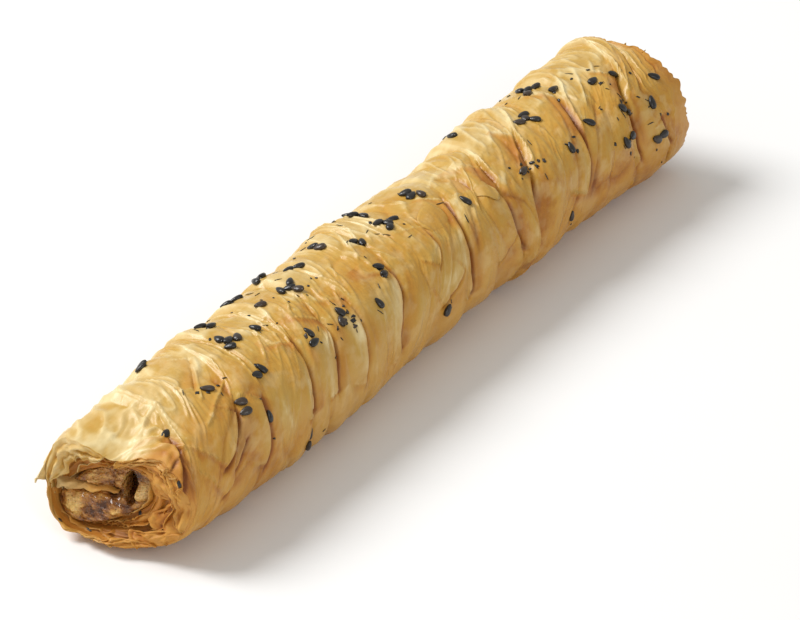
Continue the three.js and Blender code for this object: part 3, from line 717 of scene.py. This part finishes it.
def pastry_ends():
    pile = Pile()
    back, back_edges = end_rings(False)
    front, front_edges = end_rings(True)
    inner = np.array([bore_point(x + 0 * TURNS, TURNS, 0) for x in np.linspace(BACK - 6, FRONT + 6, 6)])
    points = np.concatenate([back, inner, front[::-1]])
    edges = np.concatenate([back_edges, np.zeros(inner.shape[:2]), front_edges[::-1]])
    # between the wall's sheets painted darker as shade, their edges paler as painted highlight
    tints = tinted(clamp(0.7 - edges), clamp(edges - 0.5), 0.9, 0.3, points[..., 0])
    pile.add(points, grid_faces(len(points), AROUND)[:, ::-1], **tints)
    tongue(pile)
    flaps(pile)
    return pile.build("pastry_ends")


def sheet(pile, middle, thick, *tints):
    """Thin closed slab round a grid of points, with its tints; u is its place along the roll."""
    rows, columns = middle.shape[:2]
    normal = np.cross(np.gradient(middle, axis=0), np.gradient(middle, axis=1))
    normal /= np.linalg.norm(normal, axis=-1, keepdims=True) + 1e-9
    half = normal * (0.5 * thick * np.ones((rows, columns)))[..., None]
    points = np.stack([middle + half, middle - half])
    count = rows * columns
    index = np.arange(count).reshape(rows, columns)
    loop = np.concatenate([index[0, :-1], index[:-1, -1], index[-1, :0:-1], index[:0:-1, 0]])
    after = np.roll(loop, -1)
    quads = grid_faces(rows, columns, closed=False)
    edge = np.stack([loop, after, after + count, loop + count], -1)
    tints = (np.broadcast_to(value, (2, rows, columns)) for value in (*tints, middle[..., 0]))
    pile.add(points, quads[:, ::-1], quads + count, edge, **tinted(*tints))


def film(pile, front, degrees, shares, forward, curl, seed, crumple=1.0, amber=0.95):
    """One loose sheet at an end: part of a turn, its crumpled edge standing forward of the wall."""
    part = np.linspace(0, 1, int(abs(degrees[1] - degrees[0]) / FILM.step) + 10)
    back = np.linspace(0, 1, FILM.rows)
    turn = np.radians(mix(*degrees, part))
    arc = turn * WALL_RADIUS
    inward, _ = ENDS[front]
    base = wall_at(front, turn, mix(*shares, part) + 0.04 * crumple * wave(arc / 9, seed + 7))
    window = np.sin(math.pi * part) ** 0.5
    torn = 0.9 * wave(arc / 5.5, seed) + 0.5 * wave(arc / 1.9, seed + 1)
    torn = torn - 0.8 * line(wave(arc / 7, seed + 3), 0.25)
    edge_x = base[:, 0] - inward * (forward * window + crumple * torn * window - 0.6 * (1 - window))
    ripple = crumple * (0.8 * wave(arc / 3.6, seed + 2) + 0.35 * wave(arc / 1.5, seed + 4))
    lift = curl * window[:, None] * (1 - back) ** 2 + ripple[:, None] * (1 - back)
    middle = base[:, None] + outward_at(turn)[:, None] * lift[..., None]
    middle[..., 0] = edge_x[:, None] + inward * FILM.depth * back
    near_edge = np.exp(-back * 5)
    thick = FILM.thick * (0.4 + 0.6 * clamp(back * 6))
    # darker back towards the wall as painted shade, paler at the free edge as painted highlight
    sheet(pile, middle, thick, 0.45 - 0.4 * near_edge, 0.575 + 0.5 * (near_edge - amber), amber, 0.3)


def drape(pile, front, degrees, reach, lean, seed, amber):
    """Loose sheet hanging from the rim over part of the wall, crumpled, with a torn inner edge."""
    part, down = (np.linspace(0, 1, count) for count in (DRAPE.columns, DRAPE.rows))
    part, down = grid(part, down)
    turn = np.radians(mix(*degrees, part))
    arc = turn * WALL_RADIUS
    inward, end = ENDS[front]
    torn = 1 + 0.35 * wave(arc / 6, seed) + 0.2 * wave(arc / 2, seed + 1)
    share = reach * down * torn * np.sin(math.pi * part) ** 0.4
    rim = rim_at(front, turn)
    middle = mix(rim, bore_point(end + 0 * turn, turn, 0), share[..., None])
    crumple = 0.5 * grain(5 * down, turn, 26, seed + 3) + 0.25 * grain(11 * down, turn, 60, seed + 4)
    crumple = crumple + 0.9 * line(grain(2.2 * down + arc / 16, turn, 9, seed + 2), 0.4)
    settle = smooth(0, 0.5, down)
    middle[..., 0] = rim[..., 0] - inward * (0.5 * settle - lean * down + crumple * settle)
    # hollows of the crumple painted darker as shade, its tops paler as painted highlight
    crest = clamp(0.5 * crumple + 0.5 * (0.8 - amber))
    sheet(pile, middle, DRAPE.thick, clamp(0.3 - 0.9 * crumple), crest, amber, 0.3)


def flake(pile):
    """Thin corner of a sheet standing out of the far side of the front end."""
    across, along = grid(np.linspace(-1, 1, 15), np.linspace(0, 1, 14))
    turn = FLAKE.turn + 0.3 * across * (1 - along) ** 1.2
    base = on_skin(FRONT + 1.5 + 0 * turn, turn)
    x = -6.4 * along + 0.5 * wave(along * 4 + 2 * across, 95)
    y = 0.9 * along - 0.8 * along ** 2 + 0.3 * wave(across * 2 + 9, 96)
    z = -1.4 * along - 0.5 * along * across
    sheet(pile, base + np.stack([x, y, z], -1), 0.2 + 0.2 * (1 - along), 0, 0.5 + 0.3 * along, 0.15, 0)


def end_sheets(front):
    """All the loose sheets of one end."""
    pile = Pile()
    for row in FRONT_DRAPES if front else BACK_DRAPES:
        drape(pile, front, *row)
    for row in FRONT_FILMS if front else BACK_FILMS:
        film(pile, front, *row)
    if front:
        flake(pile)
    return pile.build("front_sheets" if front else "back_sheets")


def flap(pile, edge, root):
    """Torn bit of sheet on the skin: lofted from its free edge to where it goes into the skin."""
    part, down = np.linspace(0, 1, 34), np.linspace(0, 1, 12)

    def along(path):
        return np.stack([np.interp(part, np.linspace(0, 1, len(path)), side) for side in path.T], -1)[:, None]

    x, arc = np.moveaxis(mix(along(curve(edge, 9)), along(curve(root, 9)), down[:, None]), -1, 0)
    turn = arc / SKIN_RADIUS
    window = np.sin(math.pi * part)[:, None] ** 0.5
    height = 0.3 * window * (1 - down) ** 0.8 - 0.25 * down ** 3
    middle = on_skin(pleat_place(x, turn), turn) + outward_at(turn) * height[..., None]
    sheet(pile, middle, 0.16, 0.1, 0.5 * (1 - down) ** 3, 0.1, 0.35)


def flaps(pile):
    # free edge, then where it goes into the skin: places along the roll with degrees from the top
    rows = [
        (((6.4, 27), (7, 20), (10, 14), (13, 11.5), (15.4, 15), (16.4, 24)),
         ((7, 38), (8.5, 39), (10.5, 40), (12.5, 40), (14, 39), (15.4, 36))),
        (((27.6, 33), (29, 39), (30.8, 45.5), (32.3, 45), (33.7, 39), (33.4, 30)),
         ((28.4, 26), (29.2, 25), (30.2, 24), (31.2, 23), (32.2, 23), (33, 24))),
    ]
    for edge, root in rows:
        flap(pile, edge, root)


# Filling
def patch(y, z, where):
    """1 in the middle of a round patch of a face, falling to 0 outside it."""
    return bell(y - where.y, where.width) * bell(z - where.z, where.height)


def meat_face(front):
    """Rings of an end's face from its middle outward, how deep they lie, and the grains."""
    inward, end = ENDS[front]
    slant = FACE_SLANT * np.cos(TURNS - FRONT_SLANT.turn) if front else 0 * TURNS
    edge = bore_point(end + inward * FACE_SETBACK[front] - slant, TURNS, GAP)
    middle = edge.mean(0)
    shares = np.linspace(0.02, 1, FACE_RINGS)
    points = middle + (edge - middle) * shares[:, None, None]
    y, z = points[..., 1], points[..., 2]
    draw = np.random.default_rng(91 if front else 92)
    bulge = 0 * y
    for i in range(MINCE.count):
        grain_y, grain_z = draw.uniform(*MINCE.y), draw.uniform(*MINCE.z)
        size = draw.uniform(*(LARGE_GRAIN if i < MINCE.large else SMALL_GRAIN))
        rise = size * draw.uniform(*MINCE.rise)
        bulge = bulge + rise * np.exp(-((y - grain_y) ** 2 + (z - grain_z) ** 2) / size ** 2)
    depth = -bulge * (1 - shares[:, None] ** 8)
    if front:
        rootward = clamp((y - TONGUE.tip) / (TONGUE.root - TONGUE.tip))
        seam = mix(TONGUE_HEIGHT.tip, TONGUE_HEIGHT.root, rootward)
        depth = depth + 1.8 * bell(z - seam, 1.3) * smooth(TONGUE.tip - 3, TONGUE.tip + 1, y)
        from_hollow = ((y - HOLLOW.y) / HOLLOW.width) ** 2 + ((z - HOLLOW.z) / HOLLOW.height) ** 2
        depth = depth + HOLLOW.depth * np.sqrt(clamp(1 - 4 * from_hollow))
    points[..., 0] += inward * depth
    return points, depth, clamp(bulge / 1.8)


def filling():
    front, back = meat_face(True), meat_face(False)
    sides = np.array([bore_point(x + 0 * TURNS, TURNS, GAP) for x in np.linspace(FRONT + 8, BACK - 8, 24)])
    plain = np.zeros(sides.shape[:2])
    rings, depth, bulge = (
        np.concatenate([start, between, stop[::-1]])
        for start, between, stop in zip(front, (sides, plain, plain), back)
    )
    points = np.concatenate([rings.reshape(-1, 3), [front[0][0].mean(0), back[0][0].mean(0)]])
    x, y, z = points.T
    # deep: painted shade in the hollow and along the tongue's seam; fat: fatty patches that also carry
    # painted glints
    tints = {
        "deep": clamp((np.append(depth, [0, 0]) - 1) / 5), "bulge": np.append(bulge, [0.5, 0.5]),
        "pale": patch(y, z, PALE_LUMP) * (x < 0), "fat_and_glints": np.maximum(*(patch(y, z, where) for where in FAT_AND_GLINTS)),
    }
    pile = Pile()
    pile.add(points, grid_faces(len(rings), AROUND), fans(len(rings), AROUND), **tints)
    return pile.build("meat")


# Sesame
def draws(state):
    """The same repeatable draws as in the part's source."""
    word = 2 ** 32
    while True:
        state = (state + 0x6D2B79F5) % word
        bits = (state ^ (state >> 15)) * (1 | state) % word
        bits = (bits + (bits ^ (bits >> 7)) * (61 | bits)) % word ^ bits
        yield (bits ^ (bits >> 14)) / word


def seat(x, turn, heading, reach=1.0):
    """Centre and axes of something lying on the skin: lengthways, across, outward."""
    u = pleat_place(x, turn)
    along = on_skin(u + reach, turn) - on_skin(u - reach, turn)
    around = on_skin(u, turn + 0.06 * reach) - on_skin(u, turn - 0.06 * reach)
    along = along / np.linalg.norm(along)
    outward = np.cross(around, along)
    outward = outward / np.linalg.norm(outward)
    side = np.cross(outward, along)
    lengthways = math.cos(heading) * along + math.sin(heading) * side
    return on_skin(u, turn), lengthways, np.cross(lengthways, outward), outward


def seed_places():
    draw = draws(SEED_DRAW).__next__
    places = []

    def scatter(x, degrees, count):
        bearing = draw() * TAU
        for i in range(count):
            away = 0 if i == 0 else SEED_SPACING.middle + SEED_SPACING.spread * (draw() - 0.5)
            direction = bearing + i * SEED_SPACING.fan
            turn = math.radians(degrees) + away * math.sin(direction) / (WIDTH_FRONT / 2)
            places.append((x + away * math.cos(direction), turn, draw() * math.pi))

    for x, degrees, count in CLUSTERS:
        scatter(x, degrees, count)
    for i in range(STRAYS):
        x = mix(FRONT, BACK, (i + mix(*STRAY_SHARE, draw())) / STRAYS)
        scatter(x, mix(*STRAY_DEGREES, draw()), 1)
    return places


def drop_shape(rings, sides):
    """Unit drop: points from the blunt end to the tip, as (lengthways, across, outward), and triangles."""
    lat = np.linspace(0, math.pi, rings + 2)[1:-1]
    lon = np.arange(sides) * TAU / sides
    la, lo = grid(lat, lon)
    body = np.stack([-np.cos(la), np.sin(la) * np.cos(lo), np.sin(la) * np.sin(lo)], -1).reshape(-1, 3) / 2
    quads = grid_faces(rings, sides)[:, ::-1]
    triangles = np.concatenate([quads[:, [0, 1, 2]], quads[:, [0, 2, 3]], fans(rings, sides)])
    return np.concatenate([body, [[-0.5, 0, 0], [0.5, 0, 0]]]), triangles


def place_drop(pile, shape, frame_at, size, taper, lift, **values):
    points, triangles = shape
    centre, lengthways, across, outward = frame_at
    narrow = 1 - 2 * taper * points[:, 0]
    flat = np.sign(points[:, 2]) * np.abs(2 * points[:, 2]) ** 0.8 / 2
    spread = np.outer(points[:, 0] * size[0], lengthways) + np.outer(points[:, 1] * size[1] * narrow, across)
    spread += np.outer(flat * size[2] * narrow, outward)
    pile.add(centre + outward * lift + spread, triangles, **values)


def sesame():
    pile = Pile()
    draw = np.random.default_rng(5)
    shape = drop_shape(9, 14)
    usual = np.array([SEED.length, SEED.width, SEED.thick])
    for x, turn, heading in seed_places():
        size = usual * draw.uniform(*SEED_SIZES)
        place_drop(pile, shape, seat(x, turn, heading), size, SEED.taper, SEED.lift, tint=draw.random())
    return pile.build("sesame")


def met_from_view(surfaces, place):
    """Centre and axes of a chip where the line of sight through a place first meets the front end."""
    start = Vector((np.array(place) - ROLL_MIDDLE) * MM) - 0.06 * away
    hits = [surface.ray_cast(start, away) for surface in surfaces]
    centre, normal, *_ = min((hit for hit in hits if hit[0] is not None), key=lambda hit: hit[3])
    across = normal.cross(Vector((0, 0.4, 1))).normalized()
    return np.array(centre) / MM + ROLL_MIDDLE, *(np.array(a) for a in (across.cross(normal), across, normal))


def seed_bits(pieces):
    """Broken seeds and slivers of husk lying among the whole ones."""
    pile = Pile()
    draw = np.random.default_rng(6)
    points, triangles = drop_shape(5, 8)

    def bit(frame_at, size):
        broken = points * draw.uniform(0.6, 1.3, (len(points), 1))
        taper = draw.uniform(-0.25, 0.25)
        place_drop(pile, (broken, triangles), frame_at, size, taper, BIT_LIFT, tint=draw.random())

    for _ in range(SCATTERED_BITS):
        x, degrees, _ = CLUSTERS[draw.integers(len(CLUSTERS))]
        x = min(max(x + draw.normal(0, 4.5), FRONT + 6), BACK - 6)
        turn = math.radians(degrees + draw.normal(0, 12))
        sliver = draw.random() < 0.45
        if sliver:
            size = (draw.uniform(0.9, 2.4), draw.uniform(0.18, 0.34), 0.22)
        else:
            size = (*draw.uniform(0.4, 1.2, 2), 0.3)
        bit(seat(x, turn, draw.uniform(0, math.pi), 0.5), size)
    for x, degrees, count in BROKEN:
        for _ in range(count):
            turn = math.radians(degrees + draw.normal(0, 4))
            place = seat(x + draw.normal(0, 1.3), turn, draw.uniform(0, math.pi), 0.5)
            bit(place, (*draw.uniform(0.4, 1.5, 2), 0.3))
    surfaces = [
        BVHTree.FromPolygons([v.co for v in mesh.vertices], [f.vertices[:] for f in mesh.polygons])
        for mesh in (piece.data for piece in pieces)
    ]
    for place, size in CHIPS:
        bit(met_from_view(surfaces, place), size)
    return pile.build("seed_bits")


# Materials: ramps of colours from 0 to 255, each with its place
BAKED_RAMP = [
    (0, (236, 218, 168)), (0.3, (197, 158, 78)), (0.52, (195, 145, 58)), (0.76, (168, 106, 36)),
    (1, (126, 68, 18)),
]
AMBER_RAMP = [(0.2, (204, 145, 62)), (0.5, (184, 117, 40)), (0.85, (130, 70, 21))]
MEAT_RAMP = [(0.3, (80, 42, 14)), (0.43, (146, 90, 36)), (0.56, (196, 138, 66)), (0.74, (238, 194, 112))]
SESAME_RAMP = [(0.2, (22, 20, 19)), (0.7, (36, 32, 29)), (0.92, (70, 55, 43)), (1, (100, 76, 52))]
# the third colour is painted shade for the meat's hollow
MILKY, PALE_MEAT, MEAT_HOLLOW_SHADE, PEPPER = (214, 184, 124), (226, 186, 116), (74, 36, 16), (44, 26, 16)
BLACK, WHITE = (0, 0, 0), (255, 255, 255)


def linear(r, g, b):
    def channel(value):
        value = value / 255
        return value / 12.92 if value <= 0.04045 else ((value + 0.055) / 1.055) ** 2.4
    return (channel(r), channel(g), channel(b), 1)


class Nodes:
    """Short-hand for building a material's nodes."""

    def __init__(self, name):
        self.material = bpy.data.materials.new(name)
        self.material.use_nodes = True
        self.tree = self.material.node_tree
        self.shader = next(n for n in self.tree.nodes if n.type == "BSDF_PRINCIPLED")
        self.place = self.add("TexCoord").outputs["Object"]

    def add(self, kind, inputs=(), **settings):
        node = self.tree.nodes.new("ShaderNode" + kind)
        for key, value in settings.items():
            setattr(node, key, value)
        return self.feed(node, inputs)

    def feed(self, node, inputs):
        for key, value in dict(inputs).items():
            if isinstance(value, bpy.types.NodeSocket):
                self.tree.links.new(value, node.inputs[key])
            else:
                node.inputs[key].default_value = value
        return node

    def maths(self, operation, a, b):
        return self.add("Math", {0: a, 1: b}, operation=operation).outputs[0]

    def total(self, base, *terms):
        """A base plus values times weights."""
        for value, weight in terms:
            base = self.maths("ADD", base, self.maths("MULTIPLY", value, weight))
        return base

    def attribute(self, name):
        return self.add("Attribute", attribute_name=name).outputs["Fac"]

    def noise(self, vector, scale, detail, stretch=None, rough=0.5):
        if stretch is not None:
            vector = self.add("Mapping", {"Vector": vector, "Scale": stretch}).outputs[0]
        inputs = {"Vector": vector, "Scale": scale, "Detail": detail, "Roughness": rough}
        return self.add("TexNoise", inputs).outputs["Fac"]

    def ramp(self, factor, stops):
        node = self.add("ValToRGB", {"Fac": factor})
        elements = node.color_ramp.elements
        while len(elements) < len(stops):
            elements.new(0.5)
        for element, (place, colour) in zip(elements, stops):
            element.position = place
            element.color = linear(*colour)
        return node.outputs["Color"]

    def step(self, factor, low, high):
        """0 up to low, rising to 1 at high."""
        return self.ramp(factor, [(low, BLACK), (high, WHITE)])

    def blend(self, factor, a, b):
        return self.add("Mix", {0: factor, 6: a, 7: b}, data_type="RGBA").outputs[2]

    def bump(self, height, strength, distance):
        return self.add("Bump", {"Height": height, "Strength": strength, "Distance": distance}).outputs[0]

    def shade(self, **inputs):
        self.feed(self.shader, {key.replace("_", " "): value for key, value in inputs.items()})
        return self.material


def pastry_material(name, through):
    """Baked pastry; through is how much light goes into it."""
    m = Nodes(name)
    crease, crest, amber, side, u = (m.attribute(name) for name in TINTS)
    split = m.add("SeparateXYZ", {"Vector": m.place}).outputs
    along = m.maths("MULTIPLY", u, MM)
    flow = m.add("CombineXYZ", {"X": along, "Y": split["Y"], "Z": split["Z"]}).outputs[0]
    patches = m.noise(flow, 75, 3)
    clouds = m.noise(flow, 190, 3, rough=0.6)
    streaks = m.noise(flow, 1, 3, stretch=(800, 130, 130))
    pebbles = m.noise(flow, 560, 2)
    specks = m.noise(flow, 1400, 1)
    mottle = m.noise(flow, 1, 4, stretch=(430, 330, 330), rough=0.65)
    mottle = m.maths("MULTIPLY", m.maths("SUBTRACT", mottle, 0.5), side)
    # tone from pale to dark: side, crease and crest bring in the skin's painted shade and highlight
    tone = m.total(
        0.07, (patches, 0.4), (clouds, 0.3), (streaks, -0.07), (pebbles, -0.1), (mottle, 0.6),
        (side, 0.2), (crease, 0.45), (crest, -0.27),
    )
    milky = m.maths("MULTIPLY", m.step(clouds, 0.5, 0.64), 0.5)
    colour = m.blend(milky, m.ramp(tone, BAKED_RAMP), linear(*MILKY))
    # the amber ramp darkens in the creases, partly painted shade
    shade = m.total(0, (streaks, 0.6), (crease, 0.7))
    colour = m.blend(amber, colour, m.ramp(shade, AMBER_RAMP))
    blistered = m.maths("MULTIPLY", pebbles, m.step(patches, 0.4, 0.6))
    height = m.total(0, (streaks, 0.25), (blistered, 0.45), (specks, 0.08))
    return m.shade(
        Base_Color=colour, Roughness=m.total(0.22, (clouds, 0.3), (amber, 0.2)),
        Normal=m.bump(height, 0.6, 0.0008),
        Specular_IOR_Level=0.32, Coat_Weight=0.04, Coat_Roughness=0.15,
        Subsurface_Weight=through, Subsurface_Radius=(1.0, 0.6, 0.25), Subsurface_Scale=0.003,
    )


def meat_material():
    m = Nodes("cooked_meat")
    lumps = m.noise(m.place, 260, 2)
    grains = m.noise(m.place, 750, 3)
    specks = m.noise(m.place, 1500, 1)
    fibres = m.noise(m.place, 1, 3, stretch=(500, 330, 900))
    # raised grains paler and the gaps between darker, partly painted shade; the fat patches partly painted
    # glints
    tone = m.total(
        0, (lumps, 0.5), (grains, 0.2), (m.attribute("bulge"), 0.3), (m.attribute("fat_and_glints"), 0.16),
        (m.maths("SUBTRACT", fibres, 0.5), 0.5),
    )
    dark = m.maths("MULTIPLY", m.ramp(specks, [(0.26, WHITE), (0.32, BLACK)]), 0.8)
    colour = m.blend(dark, m.ramp(tone, MEAT_RAMP), linear(*PEPPER))
    colour = m.blend(m.attribute("pale"), colour, linear(*PALE_MEAT))
    # painted shade in the hollow and along the tongue's seam
    colour = m.blend(m.attribute("deep"), colour, linear(*MEAT_HOLLOW_SHADE))
    height = m.total(0, (fibres, 1.1), (specks, 0.4))
    return m.shade(
        Base_Color=colour, Roughness=0.25, Normal=m.bump(height, 1.0, 0.0018),
        Specular_IOR_Level=0.3, Coat_Weight=0.6, Coat_Roughness=0.08,
        Subsurface_Weight=0.1, Subsurface_Radius=(1.0, 0.4, 0.25), Subsurface_Scale=0.0015,
    )


def sesame_material():
    m = Nodes("black_sesame")
    coat = m.noise(m.place, 1600, 2)
    colour = m.ramp(m.total(0, (m.attribute("tint"), 0.75), (coat, 0.3)), SESAME_RAMP)
    bump = m.bump(coat, 0.4, 0.0002)
    return m.shade(Base_Color=colour, Roughness=0.33, Normal=bump, Specular_IOR_Level=0.6)


def floor_material():
    m = Nodes("pale_floor")
    colour = m.blend(m.step(m.noise(m.place, 8, 2), 0.3, 0.7), (0.88, 0.88, 0.88, 1), (0.9, 0.9, 0.9, 1))
    return m.shade(Base_Color=colour, Roughness=0.9, Specular_IOR_Level=0.1)


# Pieces
pastry = [pastry_skin(part) for part in range(len(SKIN_PARTS) - 1)] + [pastry_ends()]
loose = [end_sheets(True), end_sheets(False)]
meat, seeds = filling(), sesame()
bits = seed_bits([pastry[-1], *loose, meat])

baked, thin = pastry_material("baked_pastry", 0.0), pastry_material("thin_sheets", 0.05)
seed_coat = sesame_material()
for piece, material, slot in (
    *((piece, baked, "pastry") for piece in pastry), *((piece, thin, "pastry") for piece in loose),
    (meat, meat_material(), "filling"), (seeds, seed_coat, "sesame"), (bits, seed_coat, "sesame"),
):
    piece.data.materials.append(material)
    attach(piece, "root")
for piece in pastry:
    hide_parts("pastry")
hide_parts("filling")

# Floor
floor_mesh = bpy.data.meshes.new("floor")
floor_mesh.from_pydata([(-3, -3, 0), (3, -3, 0), (3, 3, 0), (-3, 3, 0)], [], [(0, 1, 2, 3)])
floor = put("floor", floor_mesh)
floor.data.materials.append(floor_material())


# Light
def area_light(name, place, size, power):
    """Round lamp aimed at the roll's middle."""
    light = bpy.data.lights.new(name, "AREA")
    light.shape = "DISK"
    light.size = size
    light.energy = power
    lamp = put(name, light)
    lamp.location = place
    lamp.rotation_euler = (-Vector(place)).to_track_quat("-Z", "Y").to_euler()


area_light("key", (-0.35, 1.0, 1.15), size=0.8, power=23)
area_light("fill", (-0.8, -1.3, 0.9), size=0.7, power=4.8)
world = bpy.data.worlds.new("studio")
world.use_nodes = True
background = next(n for n in world.node_tree.nodes if n.type == "BACKGROUND")
background.inputs["Color"].default_value = (1, 0.985, 0.94, 1)
background.inputs["Strength"].default_value = 0.48
bpy.context.scene.world = world
bpy.context.scene.view_settings.view_transform = "Standard"

# Camera at the photograph's angle: a long lens, aimed off the roll's middle by as many pixels as there
DISTANCE, SENSOR = 1.5, 36
PIXELS_PER_MM, FRAME_WIDTH = 4.22, 800
AIM_HEIGHT, AIM_OFFSET = 20, (17.0, -39.3)
right = Vector((math.cos(AZIMUTH), -math.sin(AZIMUTH), 0))
up = right.cross(away)
across, upward = (offset / PIXELS_PER_MM for offset in AIM_OFFSET)
aim = Vector((0, 0, AIM_HEIGHT)) - Vector(ROLL_MIDDLE) + right * across + up * upward
lens = bpy.data.cameras.new("photo_view")
lens.sensor_width = SENSOR
lens.lens = PIXELS_PER_MM * DISTANCE / MM / FRAME_WIDTH * SENSOR
lens.clip_end = 10
camera = put("photo_view", lens)
camera.location = aim * MM - away * DISTANCE
camera.rotation_euler = away.to_track_quat("-Z", "Y").to_euler()
bpy.context.scene.camera = camera
